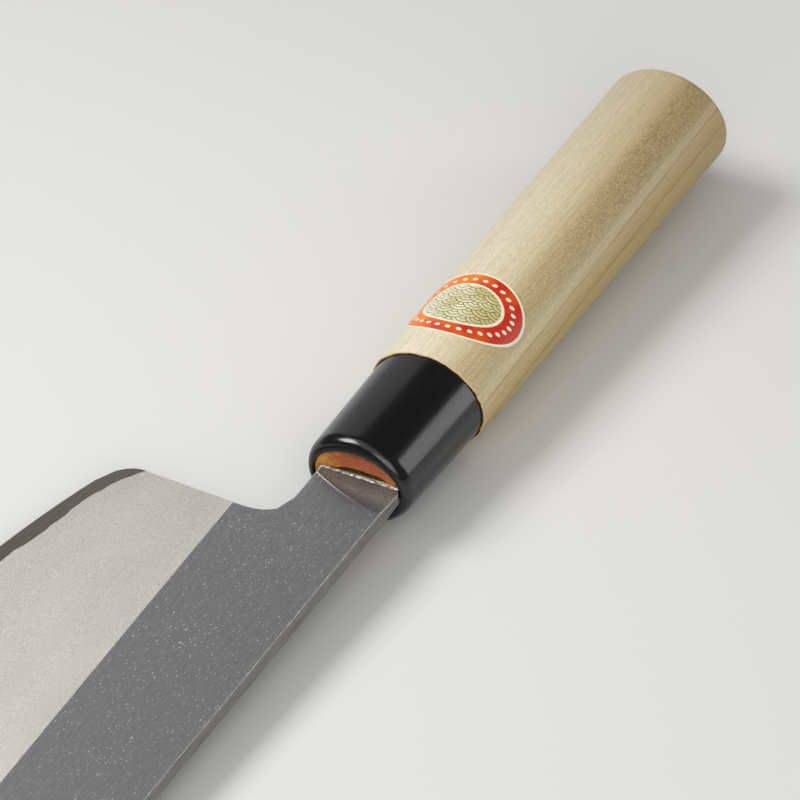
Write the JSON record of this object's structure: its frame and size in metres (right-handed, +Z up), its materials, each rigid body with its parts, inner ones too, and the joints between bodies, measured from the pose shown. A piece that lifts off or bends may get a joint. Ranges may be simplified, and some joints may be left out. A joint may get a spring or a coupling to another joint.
{
  "type": "sushi roll knife",
  "caption": "Broad Japanese kitchen knife with a straight spine and long rounded edge for cutting sushi rolls, on an oval wooden handle with a black collar, lying on its side.",
  "frame": {"origin": "on the table, under the middle of the knife's bounding box, with the knife lying on its side at rest", "axes": "+X runs from the butt of the handle to the tip of the blade, +Y from the edge to the spine, +Z up; the knife leans about 4.5 degrees, as it does on a table"},
  "size_m": [0.39, 0.0736, 0.0279],
  "materials": {
    "soft_iron": "satin",
    "hard_steel": "satin",
    "magnolia_wood": "matte",
    "black_horn": "polished",
    "amber_resin": "satin",
    "label_paper": "satin"
  },
  "bodies": {
    "root": {"blade_body": "soft_iron", "edge_steel": "hard_steel", "handle_grip": "magnolia_wood", "ferrule": "black_horn", "mouth_seal": "amber_resin", "handle_label": "label_paper"}
  },
  "joints": []
}
